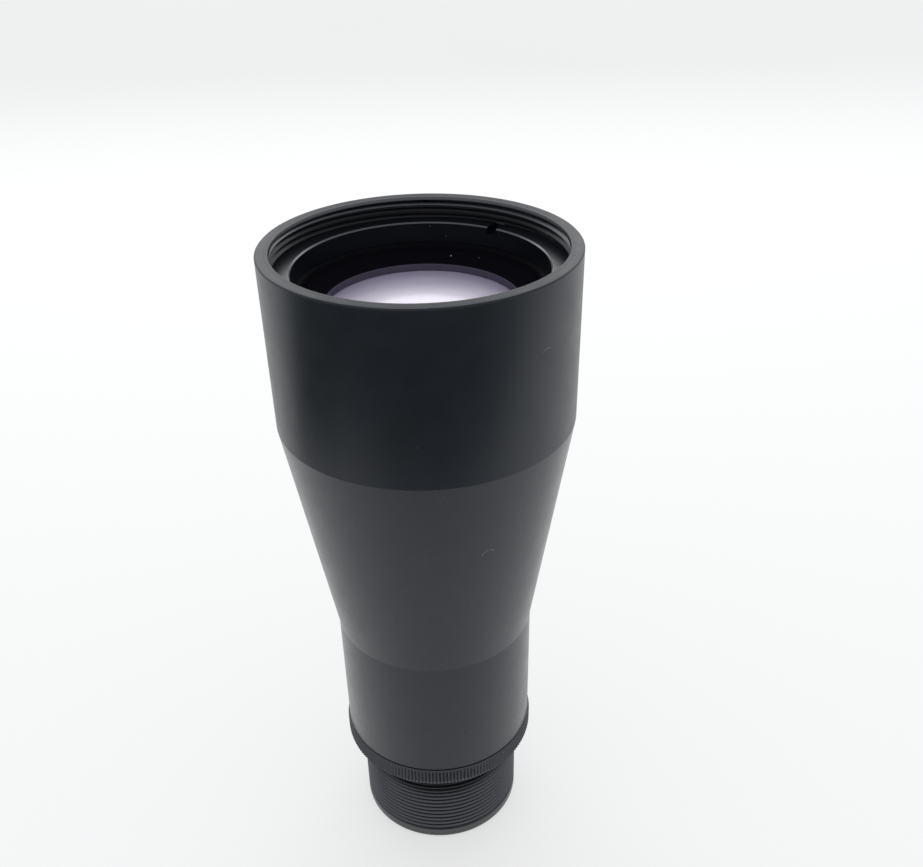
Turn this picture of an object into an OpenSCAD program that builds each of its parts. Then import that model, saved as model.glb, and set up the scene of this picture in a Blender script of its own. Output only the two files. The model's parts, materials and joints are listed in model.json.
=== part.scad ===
// Galilean laser beam expander, standing on its rear mounting thread.
// Millimetres, +Z up along the beam. The origin is the centre of the rear face.
// Threads are plain cylinders at their outer diameter. Where the mounting thread runs in the lock ring
// and the neck, the thread and its hole are drawn at its mean diameter.

/* [Input tube] */
// Outer diameter of the mounting thread
thread_d = 22; // [18:0.5:27]
// Pitch of the mounting thread
thread_pitch = 0.75; // [0.5:0.25:1]
// Length of thread that stands out below the lock ring
thread_out = 13.7; // [9:0.1:20]
// Whole length of the tube
tube_len = 30; // [26:0.5:33]
// Wall of the tube round the bore that the input cell slides into
tube_wall = 2; // [1.4:0.1:2.6]
// Step from that bore in to the narrower one that the beam passes through
tube_step = 1.5; // [0.8:0.1:2]
// Chamfer at both ends of the tube
tube_chamfer = 0.5; // [0.2:0.1:0.8]

/* [Lock ring] */
// Width of the ring, from the thread out to the tips of the knurl
ring_w = 2; // [1.5:0.1:4]
// Height of the ring
ring_h = 2.5; // [2:0.1:5]
// Number of knurl teeth
knurl_teeth = 168; // [60:1:200]
// Depth of the knurl
knurl_depth = 0.22; // [0.1:0.01:0.4]
// Chamfer on the ring's outer edges
ring_chamfer = 0.3; // [0.1:0.05:0.6]

/* [Barrel] */
// Wall of the neck round the tube
neck_wall = 1.75; // [1.2:0.05:2.5]
// Length of the neck
neck_len = 18.25; // [16:0.25:24]
// Length of the outer cone
cone_len = 30; // [20:0.5:40]
// Wall of the head round the front thread
head_wall = 1; // [0.7:0.1:3]
// Length of the head
head_len = 20; // [17:0.5:28]
// Step from the hole that the tube runs in to the foot of the inner cone
foot_step = 0.8; // [0.4:0.1:1.6]
// Width of the shoulder in the head
shoulder_w = 1.8; // [1:0.1:2.4]
// Chamfer on the lower edge of the neck
neck_chamfer = 0.25; // [0.1:0.05:0.6]
// Chamfer on the outer edge of the mouth
rim_chamfer = 0.15; // [0.1:0.05:0.45]
// Chamfer at the mouth of the front thread
mouth_chamfer = 0.1; // [0.05:0.05:0.2]

/* [Front retaining ring] */
// Depth of the ring below the mouth
front_recess = 2.45; // [1.5:0.05:5]
// Thickness of the ring
front_ring_t = 2.5; // [2:0.1:4]
// Width of the ring
front_ring_w = 2.4; // [1.6:0.1:3]
// Bevel on the ring's inner edge
front_ring_bevel = 0.15; // [0.1:0.05:0.6]
// Direction of the spanner slots, in degrees from +X
front_slot_turn = 53; // [0:1:180]

/* [Objective lenses] */
// Diameter of both lenses
lens_d = 25.4; // [22:0.1:30]
// Radius of the front lens's dome
front_lens_curve = 50; // [40:1:80]
// Edge thickness of the front lens
front_lens_edge = 2.2; // [1.5:0.1:3]
// Thickness of the spacer at its rim
spacer_t = 2; // [1.5:0.1:4]
// Width of the spacer
spacer_w = 1.4; // [1:0.1:2.4]
// Radius of the rear lens's dome
rear_lens_curve = 60; // [50:1:90]
// Radius of the rear lens's hollow side
rear_lens_hollow = 150; // [120:1:300]
// Edge thickness of the rear lens
rear_lens_edge = 2; // [1.5:0.1:3]

/* [Objective cell] */
// Wall of the cell round the lens ring
cell_wall = 2.4; // [1.6:0.1:3.4]
// Depth of the lens ring below the cell's top
lens_ring_drop = 0.55; // [0.2:0.05:1]
// Thickness of the lens ring
lens_ring_t = 1.8; // [1.4:0.1:2.4]
// Width of glass that the lens ring covers at the lens's edge
lens_ring_lip = 1.8; // [1:0.1:2.4]
// Height of the straight wall below the ring's dished top
lens_ring_wall = 0.8; // [0.4:0.1:1.2]
// Width of the flat rim round the dished top
lens_ring_land = 0.55; // [0.3:0.05:1]
// Width that the lens ring's thread stands out past the lens
lens_ring_grip = 0.8; // [0.6:0.05:1.2]
// Thickness of the seat that carries the lenses
seat_t = 1.5; // [1:0.1:3]
// Width of glass that the seat carries at the lens's edge
seat_w = 1.4; // [1:0.1:2]
// Thickness of the distance ring under the cell
distance_t = 3; // [1:0.1:5]

/* [Input lens and cell] */
// Depth of the rear recess
input_recess = 5; // [4.6:0.1:6]
// Thickness of the ring that holds the input cell
cell_ring_t = 2; // [1.5:0.1:3]
// Width of the ring that holds the input cell
cell_ring_w = 2.95; // [2:0.05:4]
// Bevel on that ring's inner edge
cell_ring_bevel = 0.3; // [0.1:0.05:0.6]
// Wall of the input cell round its lens
input_cell_wall = 2.95; // [1.6:0.05:4]
// Edge thickness of the input lens
input_lens_edge = 3.2; // [2.8:0.1:4]
// Depth of the input lens's hollow
input_lens_hollow = 1.7; // [0.8:0.1:2.2]
// Width of glass outside the hollow
input_lip = 0.9; // [0.6:0.1:1.6]
// Thickness of the input lens ring
input_ring_t = 1.5; // [1:0.1:2]
// Depth of the input lens ring inside its cell
input_ring_drop = 0.3; // [0.1:0.05:1]
// Width that the input lens ring's thread stands out past the lens
input_ring_grip = 0.45; // [0.3:0.05:0.8]
// Thickness of the input cell's seat
input_seat_t = 1.5; // [1:0.1:2.5]
// Thickness of the distance ring above the input cell
input_distance_t = 1.5; // [0.8:0.1:3]

/* [Glare stop] */
// Thickness of the stop
stop_t = 2.2; // [1.5:0.1:2.6]
// Width of the stop
stop_w = 2.6; // [2.4:0.1:4]
// Thickness left at the stop's sharp edge
stop_edge = 0.3; // [0.2:0.05:0.6]
// Depth of the stop inside the tube's front end
stop_drop = 0.3; // [0.1:0.05:1]
// Width that the stop's thread stands out past the beam bore
stop_grip = 0.6; // [0.4:0.05:0.8]

/* [Threads and fits] */
// Width of the spanner slots
slot_w = 1.25; // [0.8:0.05:2]
// Depth of the spanner slots
slot_depth = 0.9; // [0.4:0.05:1.2]
// Height of the front thread's ridges
front_thread_depth = 0.5; // [0.4:0.05:0.6]
// Radial gap between pieces that slide or turn in each other
slide_gap = 0.05; // [0.03:0.01:0.08]
// Gap between faces that turn against each other
face_gap = 0.05; // [0.02:0.01:0.1]
// Gap between the glass and the metal that holds it
glass_gap = 0.02; // [0.01:0.01:0.05]
// Run-out below each internal thread
run_out = 0.3; // [0.2:0.05:0.6]
// Space in the barrel past the front end of the tube
tube_end_gap = 1; // [0.5:0.1:3]

/* [Hidden] */
$fn = 96;
// Facets of the drawn domes, which are true spheres in the solids
dome_fn = 240;
// Overshoot of a cut past the face that it leaves through
cut = 1;
// Depth from the crests of a metric thread to its mean line, as a share of the pitch
mean_depth = 0.3248;

black = "#2b2d30";
inner_black = "#1d1e21";
glass = "#a79fc4";

thread_r = thread_d/2;
run_r = thread_r - mean_depth*thread_pitch;
nut_r = run_r + slide_gap;
tube_bore_r = thread_r - tube_wall;
tube_beam_r = tube_bore_r - tube_step;
ring_r = thread_r + ring_w;
neck_r = thread_r + neck_wall;
foot_r = nut_r - foot_step;

// Heights of the outside, from the rear face up
ring_z = thread_out;
barrel_z = ring_z + ring_h + face_gap;
cone_z = barrel_z + neck_len;
head_z = cone_z + cone_len;
top_z = head_z + head_len;

// Head, from the lenses outwards
lens_r = lens_d/2;
lens_ring_r = lens_r + lens_ring_grip;
lens_ring_bore_r = lens_r - lens_ring_lip;
cell_r = lens_ring_r + slide_gap + cell_wall;
cell_bore_r = cell_r + slide_gap;
shoulder_r = cell_bore_r - shoulder_w;
front_thread_r = cell_bore_r + front_thread_depth;
front_ring_r = front_thread_r - slide_gap;
front_ring_bore_r = front_ring_r - front_ring_w;
head_r = front_thread_r + head_wall;

// Objective, from the front ring down to the shoulder in the head
front_ring_top = top_z - front_recess;
front_ring_z = front_ring_top - front_ring_t;
cell_top = front_ring_z;
lens_ring_top = cell_top - lens_ring_drop;
lens_ring_z = lens_ring_top - lens_ring_t;
front_lens_apex = lens_ring_z - glass_gap + sag(front_lens_curve, lens_ring_bore_r);
front_lens_z = front_lens_apex - sag(front_lens_curve, lens_r) - front_lens_edge;
spacer_bore_r = lens_r - spacer_w;
spacer_z = front_lens_z - spacer_t;
rear_lens_apex = spacer_z + sag(rear_lens_curve, spacer_bore_r);
rear_lens_z = rear_lens_apex - sag(rear_lens_curve, lens_r) - rear_lens_edge;
seat_z = rear_lens_z - glass_gap;
cell_z = seat_z - seat_t;
shoulder_z = cell_z - distance_t;

// Input group, from the rear recess up to the shoulder in the tube
cell_ring_z = input_recess;
input_cell_r = tube_bore_r - slide_gap;
input_cell_z = cell_ring_z + cell_ring_t;
input_lens_r = input_cell_r - input_cell_wall;
input_aperture_r = input_lens_r - input_lip;
input_ring_r = input_lens_r + input_ring_grip;
input_ring_z = input_cell_z + input_ring_drop;
input_lens_z = input_ring_z + input_ring_t;
input_seat_z = input_lens_z + input_lens_edge;
input_cell_top = input_seat_z + input_seat_t;
input_shoulder_z = input_cell_top + input_distance_t;

// Glare stop, in the front end of the tube
stop_r = tube_beam_r + stop_grip;
stop_bore_r = stop_r - stop_w;
stop_top = tube_len - stop_drop;
stop_z = stop_top - stop_t;

// Height of a dome of the given radius over a circle of radius r
function sag(curve, r) = curve - sqrt(curve*curve - r*r);

// Solid turned about Z from points of radius and height
module turned(points) {
  rotate_extrude()
    polygon(points);
}

// Round bore from z0 to z1
module bore(r, z0, z1) {
  translate([0, 0, z0])
    cylinder(r = r, h = z1 - z0);
}

// Cone that widens the upper end of a bore of radius r at height z by c
module mouth_up(r, z, c) {
  translate([0, 0, z - c])
    cylinder(r1 = r, r2 = r + c + cut, h = c + cut);
}

// Cone that widens the lower end of a bore of radius r at height z by c
module mouth_down(r, z, c) {
  translate([0, 0, z - cut])
    cylinder(r1 = r + c + cut, r2 = r, h = c + cut);
}

// Two spanner slots across a ring of radius r whose slotted face is at height z, cut downwards
module slots_down(r, z, turn) {
  rotate([0, 0, turn])
    translate([-r - cut, -slot_w/2, z - slot_depth])
      cube([2*(r + cut), slot_w, slot_depth + cut]);
}

// The same two slots in a face that looks down
module slots_up(r, z, turn) {
  rotate([0, 0, turn])
    translate([-r - cut, -slot_w/2, z - cut])
      cube([2*(r + cut), slot_w, slot_depth + cut]);
}

module barrel() {
  pocket_top = tube_len + tube_end_gap;
  thread_foot = front_ring_z - run_out;
  color(black)
    difference() {
      turned([
        [0, barrel_z], [neck_r - neck_chamfer, barrel_z], [neck_r, barrel_z + neck_chamfer],
        [neck_r, cone_z], [head_r, head_z], [head_r, top_z - rim_chamfer],
        [head_r - rim_chamfer, top_z], [0, top_z]
      ]);
      bore(nut_r, barrel_z - cut, pocket_top);
      mouth_down(nut_r, barrel_z, tube_chamfer);
      bore(foot_r, pocket_top - cut, shoulder_z);
      inner_cone();
      bore(cell_bore_r, shoulder_z, thread_foot + cut);
      bore(front_thread_r, thread_foot, top_z + cut);
      mouth_up(front_thread_r, top_z, mouth_chamfer);
    }
}

// Light path of the barrel, which widens from the top of the neck to the shoulder in the head
module inner_cone() {
  slope = (shoulder_r - foot_r)/(shoulder_z - cone_z);
  translate([0, 0, cone_z])
    cylinder(r1 = foot_r, r2 = shoulder_r + slope*cut, h = shoulder_z - cone_z + cut);
}

module front_retaining_ring() {
  color(black)
    difference() {
      turned([
        [0, front_ring_z], [front_ring_r, front_ring_z], [front_ring_r, front_ring_top - front_ring_bevel],
        [front_ring_r - front_ring_bevel, front_ring_top], [0, front_ring_top]
      ]);
      bore(front_ring_bore_r, front_ring_z - cut, front_ring_top + cut);
      mouth_up(front_ring_bore_r, front_ring_top, front_ring_bevel);
      slots_down(front_thread_r, front_ring_top, front_slot_turn);
    }
}

// Sleeve with a seat at its foot, which the lenses drop into from above
module objective_cell() {
  color(inner_black)
    difference() {
      bore(cell_r, cell_z, cell_top);
      bore(lens_r - seat_w, cell_z - cut, seat_z + cut);
      bore(lens_r + slide_gap, seat_z, cell_top);
      bore(lens_ring_r + slide_gap, lens_ring_z - run_out, cell_top + cut);
    }
}

module objective_lens_ring() {
  color(inner_black)
    difference() {
      turned([
        [lens_ring_bore_r, lens_ring_z], [lens_ring_r, lens_ring_z], [lens_ring_r, lens_ring_top],
        [lens_ring_r - lens_ring_land, lens_ring_top], [lens_ring_bore_r, lens_ring_z + lens_ring_wall]
      ]);
      slots_down(lens_ring_r, lens_ring_top, 0);
    }
}

// Domed on top and flat below
module objective_front_lens() {
  color(glass)
    intersection() {
      bore(lens_r, front_lens_z, front_lens_apex + cut);
      translate([0, 0, front_lens_apex - front_lens_curve])
        sphere(r = front_lens_curve, $fn = dome_fn);
    }
}

module objective_spacer() {
  color(inner_black)
    difference() {
      bore(lens_r, spacer_z, front_lens_z);
      bore(spacer_bore_r, spacer_z - cut, front_lens_z + cut);
    }
}

// Domed on top and hollow below
module objective_rear_lens() {
  hollow_apex = rear_lens_z + sag(rear_lens_hollow, lens_r);
  color(glass)
    difference() {
      intersection() {
        bore(lens_r, rear_lens_z, rear_lens_apex + cut);
        translate([0, 0, rear_lens_apex - rear_lens_curve])
          sphere(r = rear_lens_curve, $fn = dome_fn);
      }
      translate([0, 0, hollow_apex - rear_lens_hollow])
        sphere(r = rear_lens_hollow, $fn = 2*dome_fn);
    }
}

module objective_distance_ring() {
  color(inner_black)
    difference() {
      bore(cell_r, shoulder_z, cell_z);
      bore(shoulder_r, shoulder_z - cut, cell_z + cut);
    }
}

// Outline of a straight knurl: one tip and one root for each tooth
module knurl_outline() {
  half_tooth = 180/knurl_teeth;
  polygon([
    for (i = [0:2*knurl_teeth - 1])
      let (r = ring_r - (i % 2)*knurl_depth)
        [r*cos(i*half_tooth), r*sin(i*half_tooth)]
  ]);
}

// The two chamfers go on outwards until they meet, so that they alone cut the teeth
module lock_ring() {
  face_r = ring_r - ring_chamfer;
  color(black)
    difference() {
      intersection() {
        translate([0, 0, ring_z])
          linear_extrude(ring_h)
            knurl_outline();
        turned([
          [0, ring_z], [face_r, ring_z], [face_r + ring_h/2, ring_z + ring_h/2],
          [face_r, ring_z + ring_h], [0, ring_z + ring_h]
        ]);
      }
      bore(nut_r, ring_z - cut, ring_z + ring_h + cut);
    }
}

module input_tube() {
  color(black)
    difference() {
      turned([
        [0, 0], [thread_r - tube_chamfer, 0], [thread_r, tube_chamfer], [thread_r, thread_out],
        [run_r, thread_out], [run_r, tube_len - tube_chamfer], [run_r - tube_chamfer, tube_len],
        [0, tube_len]
      ]);
      bore(tube_bore_r, -cut, input_shoulder_z);
      mouth_down(tube_bore_r, 0, tube_chamfer);
      bore(tube_beam_r, input_shoulder_z - cut, tube_len + cut);
      bore(stop_r + slide_gap, stop_z, tube_len + cut);
    }
}

// Sleeve with a seat at its top, which the input lens drops into from below
module input_cell() {
  color(inner_black)
    difference() {
      bore(input_cell_r, input_cell_z, input_cell_top);
      bore(input_aperture_r, input_seat_z - cut, input_cell_top + cut);
      bore(input_lens_r + slide_gap, input_cell_z, input_seat_z);
      bore(input_ring_r + slide_gap, input_cell_z - cut, input_lens_z + run_out);
    }
}

// Flat on top and hollow below
module input_lens() {
  curve = (input_aperture_r*input_aperture_r/input_lens_hollow + input_lens_hollow)/2;
  color(glass)
    difference() {
      bore(input_lens_r, input_lens_z, input_seat_z);
      translate([0, 0, input_lens_z + input_lens_hollow - curve])
        sphere(r = curve, $fn = dome_fn);
    }
}

module input_lens_ring() {
  color(inner_black)
    difference() {
      bore(input_ring_r, input_ring_z, input_lens_z);
      bore(input_aperture_r, input_ring_z - cut, input_lens_z + cut);
      slots_up(input_ring_r, input_ring_z, 90);
    }
}

module input_cell_ring() {
  bore_r = input_cell_r - cell_ring_w;
  color(black)
    difference() {
      bore(input_cell_r, cell_ring_z, input_cell_z);
      bore(bore_r, cell_ring_z - cut, input_cell_z + cut);
      mouth_down(bore_r, cell_ring_z, cell_ring_bevel);
      slots_up(input_cell_r, cell_ring_z, 0);
    }
}

module input_distance_ring() {
  color(inner_black)
    difference() {
      bore(input_cell_r, input_cell_top, input_shoulder_z);
      bore(tube_beam_r, input_cell_top - cut, input_shoulder_z + cut);
    }
}

// Ring with a sharp edge, so that the opening itself reflects nothing
module glare_stop() {
  slope = stop_t - stop_edge;
  color(inner_black)
    difference() {
      turned([
        [stop_bore_r, stop_z], [stop_r, stop_z], [stop_r, stop_top], [stop_bore_r + slope, stop_top],
        [stop_bore_r, stop_z + stop_edge]
      ]);
      slots_down(stop_r, stop_top, 0);
    }
}

barrel();
front_retaining_ring();
objective_cell();
objective_lens_ring();
objective_front_lens();
objective_spacer();
objective_rear_lens();
objective_distance_ring();
lock_ring();
input_tube();
input_cell();
input_lens();
input_lens_ring();
input_cell_ring();
input_distance_ring();
glare_stop();
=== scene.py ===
"""Laser beam expander: threads, knurl, glass and finishes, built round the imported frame."""

import json
import math

import bmesh
import bpy
from bpy.props import FloatProperty, FloatVectorProperty, IntProperty, PointerProperty
from mathutils import Matrix, Vector


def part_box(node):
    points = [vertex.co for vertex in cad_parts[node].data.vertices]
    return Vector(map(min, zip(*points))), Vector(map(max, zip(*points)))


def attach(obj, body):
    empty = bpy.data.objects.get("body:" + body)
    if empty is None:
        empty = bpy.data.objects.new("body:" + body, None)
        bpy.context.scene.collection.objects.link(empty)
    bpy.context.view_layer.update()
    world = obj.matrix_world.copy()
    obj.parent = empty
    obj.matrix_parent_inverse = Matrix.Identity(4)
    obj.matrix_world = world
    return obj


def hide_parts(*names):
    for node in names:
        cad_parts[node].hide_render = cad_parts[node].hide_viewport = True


bl_info = {
    "name": "Laser beam expander",
    "version": (1, 0, 0),
    "blender": (4, 5, 0),
    "location": "3D View > Sidebar > Expander",
    "description": "Builds the threads, knurl, glass and finishes of a laser beam expander",
    "category": "Object",
}

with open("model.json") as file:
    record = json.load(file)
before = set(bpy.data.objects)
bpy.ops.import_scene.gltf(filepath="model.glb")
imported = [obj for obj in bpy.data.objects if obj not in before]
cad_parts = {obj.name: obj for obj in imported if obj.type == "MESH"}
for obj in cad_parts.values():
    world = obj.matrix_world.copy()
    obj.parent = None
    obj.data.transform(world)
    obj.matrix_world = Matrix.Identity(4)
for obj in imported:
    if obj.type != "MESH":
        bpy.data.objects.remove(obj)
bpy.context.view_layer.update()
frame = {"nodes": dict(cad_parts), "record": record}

MM = 0.001
FULL_TURN = 2 * math.pi
# Slope of a metric thread's flanks
FLANK = math.radians(30)
# Rounding of turned edges, and of the thin land in the mouth
EDGE = 0.03 * MM
THIN_EDGE = 0.02 * MM
# Depth by which the land in the mouth is sunk into the wall that carries it
SUNK = 0.01 * MM
# Distance within which points are merged
WELD = 0.0002 * MM
# Width over which one finish changes to the next
FINE = 0.01 * MM
# A height or a radius past the whole part, for a limit that isn't in use
FAR = 1.0
# The kinds of node that the trees use most
MATH = "ShaderNodeMath"
RANGE = "ShaderNodeMapRange"


def top_of(node):
    """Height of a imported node's upper face."""
    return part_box(node)[1].z


def foot_of(node):
    """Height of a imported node's lower face."""
    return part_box(node)[0].z


def radius_of(node):
    """Outer radius of a packed round node."""
    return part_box(node)[1].x


def linear(hex_colour):
    """Linear RGBA of an sRGB hex colour."""
    channels = [int(hex_colour[i:i + 2], 16) / 255 for i in (1, 3, 5)]
    return (*[c / 12.92 if c <= 0.04045 else ((c + 0.055) / 1.055) ** 2.4 for c in channels], 1.0)


# Settings


def length(name, description, millimetres):
    """A length property, whose default is given in millimetres."""
    return FloatProperty(
        name=name, description=description, default=millimetres * MM,
        subtype="DISTANCE", unit="LENGTH", precision=5,
    )


def turn(name, description, degrees):
    """An angle property, whose default is given in degrees."""
    return FloatProperty(name=name, description=description, default=math.radians(degrees), unit="ROTATION")


def number(name, description, default, unit="NONE"):
    """A property that holds a plain number."""
    return FloatProperty(name=name, description=description, default=default, unit=unit)


def colour(name, description, hex_colour):
    """A colour property, whose default is given as an sRGB hex colour."""
    return FloatVectorProperty(
        name=name, description=description, default=linear(hex_colour), size=4,
        subtype="COLOR", min=0.0, max=1.0,
    )


class ExpanderBarrel(bpy.types.PropertyGroup):
    """Sizes of the turned barrel."""

    neck_r: length("Neck radius", "Outer radius of the neck", 12.75)
    cone_z: length("Cone foot", "Height at which the neck meets the cone", 34.5)
    head_z: length("Cone top", "Height at which the cone meets the head", 64.5)
    neck_chamfer: length("Neck chamfer", "Chamfer on the lower edge of the neck", 0.25)
    rim_chamfer: length("Rim chamfer", "Chamfer on the outer edge of the mouth", 0.15)
    entry_chamfer: length("Entry chamfer", "Chamfer at the mouth of the neck's thread", 0.5)
    nut_r: length("Neck thread radius", "Radius of the hole that the tube runs in", 10.8064)
    foot_r: length("Inner foot radius", "Radius at the foot of the inner cone", 10.0064)
    shoulder_r: length("Shoulder radius", "Radius at the top of the inner cone", 14.2)
    pocket_top: length("Pocket top", "Height of the shoulder above the tube", 31.0)
    run_out: length("Run-out", "Depth of the front thread below its ring", 0.3)
    gap: length("Running gap", "Radial gap of pieces that slide in each other", 0.05)


class ExpanderThreads(bpy.types.PropertyGroup):
    """Sizes of the screw threads and the knurl."""

    pitch: length("Pitch", "Distance from crest to crest of both threads", 0.75)
    depth: length("Thread depth", "Height of the ridges of the mounting thread", 0.45)
    crest: length("Crest width", "Width of the flat on a ridge", 0.09)
    slant: number("Crest slant", "Lean of the mounting thread's crests", 0.12)
    start: turn("Thread start", "Angle at which the mounting thread starts", -60)
    fade: number("Thread fade", "Turns over which the mounting thread rises and sinks", 0.5)
    free_top: length("Free thread", "Height up to which the mounting thread stands free", 13.7)
    run_drop: length("Engaged drop", "Drop of the crests where they run in the ring", 0.23)
    front_depth: length("Front thread depth", "Height of the ridges of the front thread", 0.45)
    front_crest: length("Front crest width", "Width of the flat on a ridge of the front thread", 0.16)
    front_slant: number("Front crest slant", "Lean of the front thread's crests", 0.28)
    front_start: turn("Front start", "Angle at which the front thread starts", 20)
    front_fade: number("Front fade", "Turns over which the front thread rises and sinks", 0.06)
    front_turns: number("Front turns", "Turns of the front thread", 3.1)
    front_low: length("Lowest front ridge", "Depth of the first front ridge below the mouth", 2.56)
    face_inset: length("Face inset", "Depth of the cut ends of the ridges below the rim", 0.004)
    land: length("Land", "Depth of the plain land between the rim and the first groove", 0.34)
    land_lip: length("Land height", "How far the foot of the land stands in from the wall", 0.53)
    land_lean: length("Land lean", "How far the top of the land lies behind its foot", 0.1)
    teeth: IntProperty(name="Teeth", description="Number of knurl teeth", default=168)
    tooth: length("Tooth depth", "Depth of the knurl", 0.22)
    ring_chamfer: length("Ring chamfer", "Chamfer on the edges of the lock ring", 0.3)


class ExpanderTube(bpy.types.PropertyGroup):
    """Sizes of the input tube."""

    bore_r: length("Cell bore radius", "Radius of the bore that holds the input cell", 9.0)
    beam_r: length("Beam bore radius", "Radius of the bore that the beam passes", 7.5)
    chamfer: length("Tube chamfer", "Chamfer at both ends of the tube", 0.5)
    land: length("Foot land", "Height up to which the tube is plain", 1.35)


class ExpanderRings(bpy.types.PropertyGroup):
    """Where the finish changes on the rings in the mouth, and where the painted violet reflection begins."""

    bore_r: length("Matt bore", "Radius within which the front ring is left matt", 14.06)
    bevel: length("Bore bevel", "Width of the polished bevel at the front ring's bore", 0.15)
    wall_r: length("Painted violet wall", "Radius within which the lens ring is painted violet", 10.93)


class ExpanderGlass(bpy.types.PropertyGroup):
    """Sizes of the front lens."""

    dome: length("Dome radius", "Radius of the front lens's dome", 50.0)
    rim_chamfer: length("Glass chamfer", "Ground chamfer at the edge of the lens", 0.12)


class ExpanderLint(bpy.types.PropertyGroup):
    """Sizes of the dust."""

    hair_r: length("Hair radius", "Radius of a fibre", 0.026)
    curl: length("Hair curl", "Radius that the fibres curl at", 0.75)
    speck_r: length("Speck radius", "Radius of the largest grain", 0.11)


class ExpanderColours(bpy.types.PropertyGroup):
    """Colours of the finishes and the stage."""

    black: colour("Black", "Dye of the anodised outside", "#18181b")
    black_cool: colour("Cool black", "Bluer patches of the same dye", "#161c21")
    sheen: colour("Sheen", "Tint of the anodised layer's reflection", "#eff2ff")
    cut: colour("Cut black", "Dye in the sharp cuts of the threads", "#0b0b0d")
    # Painted reflection of the white floor on the land at the tube's foot
    foot: colour("Foot edge", "Painted reflection of the white floor on the tube's lower edge", "#3a3d35")
    inner: colour("Inner black", "Matt black inside the barrel", "#0d0d12")
    # Painted reflection of the glass's violet light on the lens ring's wall
    painted_violet: colour("Painted violet wall", "Painted violet reflection of the glass on the wall round it", "#524d5e")
    coating: colour("Coating", "Tint of what the lens coating reflects", "#d9c8ff")
    rear: colour("Rear reflection", "What the rear face of the lens reflects", "#f3f3f2")
    veil: colour("Veil", "Light that the lens coating scatters", "#cabfe0")
    lint: colour("Lint", "Dust and fibres on the barrel", "#787b80")
    floor: colour("Floor", "White card under the part", "#f5f5f5")
    dark: colour("Dark", "Rubber mat in front of the card", "#1c1c1e")
    room: colour("Room", "Light from all round", "#fdfefe")


class ExpanderStage(bpy.types.PropertyGroup):
    """The camera, the light and the floor."""

    back: length("Camera distance", "Distance of the camera in front of the axis", 101.874)
    up: length("Camera height", "Height of the camera above the floor", 120.936)
    yaw: turn("Yaw", "Turn to the right", 2.274)
    pitch: turn("Pitch", "Tilt down", 33.276)
    roll: turn("Roll", "Turn about the view", -1.098)
    lens: number("Focal length", "On a 36 mm sensor", 38.51, unit="CAMERA")
    shift: number("Shift up", "Upward shift of the frame", 0.0514)
    aside: number("Shift aside", "Sideways shift of the frame", -0.0011)
    world: number("Room", "Level of the light from all round", 0.92)
    lamp: number("Softbox", "Power of the softbox", 1.1, unit="POWER")
    lamp_wide: length("Softbox width", "Width of the softbox", 800.0)
    lamp_deep: length("Softbox depth", "Depth of the softbox", 170.0)
    lamp_aim: length("Softbox aim", "Height on the axis that the softbox faces", 78.0)
    lamp_back: length("Softbox distance", "Distance of the softbox behind the axis", 360.0)
    lamp_up: length("Softbox height", "Height of the softbox above its aim", 225.0)
    card: length("Card", "How far the white card reaches in front of the part", 88.0)
    card_side: length("Card side", "How far the card's front half reaches to the left", 108.0)
    card_corner: length("Card corner", "How far behind the axis the card widens", 40.0)
    reach: length("Stage side", "How far the floor reaches to each side and in front", 3000.0)
    depth: length("Stage depth", "How far the floor reaches behind the part", 4000.0)
    own_light: number("Card's own light", "How much the camera sees of the card's plain colour", 0.62)


# Nodes


def feed(tree, node, inputs):
    """Sets a node's inputs, from a dict by socket or from a list in the node's own order.

    Each gets a value or the output that feeds it. A node stands for the first of its outputs in use.
    """
    pairs = inputs.items() if isinstance(inputs, dict) else enumerate(inputs)
    for socket, value in pairs:
        if isinstance(value, bpy.types.Node):
            value = next(output for output in value.outputs if output.enabled)
        if isinstance(value, bpy.types.NodeSocket):
            tree.links.new(value, node.inputs[socket])
        else:
            node.inputs[socket].default_value = value


def add(tree, kind, inputs=(), **settings):
    """Adds a node with its settings and its inputs."""
    made = tree.nodes.new(kind)
    for name, value in settings.items():
        setattr(made, name, value)
    feed(tree, made, inputs)
    return made


# Meshes


def link(obj):
    """Puts an object in the scene."""
    bpy.context.scene.collection.objects.link(obj)
    return obj


def points(*pairs):
    """Points of an outline, each given by its radius and height."""
    return [Vector(p) for p in pairs]


def tidied(mesh):
    """Merges doubles, turns the faces outwards and marks the real edges as sharp."""
    real_edge = math.radians(25)
    work = bmesh.new()
    work.from_mesh(mesh)
    bmesh.ops.remove_doubles(work, verts=work.verts, dist=WELD)
    bmesh.ops.dissolve_degenerate(work, edges=work.edges, dist=WELD)
    bmesh.ops.recalc_face_normals(work, faces=work.faces)
    work.to_mesh(mesh)
    work.free()
    mesh.shade_smooth()
    mesh.set_sharp_from_angle(angle=real_edge)
    return mesh


def eased(outline, radius):
    """The closed outline with each corner rounded, as a tool's nose and the finish leave it."""
    steps = 3
    nearly_straight = math.radians(5)
    rounded = []
    for i, corner in enumerate(outline):
        before, after = outline[i - 1], outline[(i + 1) % len(outline)]
        inward, outward = before - corner, after - corner
        bend = inward.normalized().angle(outward.normalized())
        if abs(bend - math.pi) < nearly_straight:
            rounded.append(corner)
            continue
        # Less than half of each side, so that two roundings never meet
        room = min(inward.length, outward.length) / 2.2
        reach = min(radius / math.tan(bend / 2), room)
        start, end = corner + inward.normalized() * reach, corner + outward.normalized() * reach
        for step in range(steps + 1):
            share = step / steps
            rounded.append(start * (1 - share) ** 2 + corner * (2 * share * (1 - share)) + end * share ** 2)
    return rounded


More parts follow.
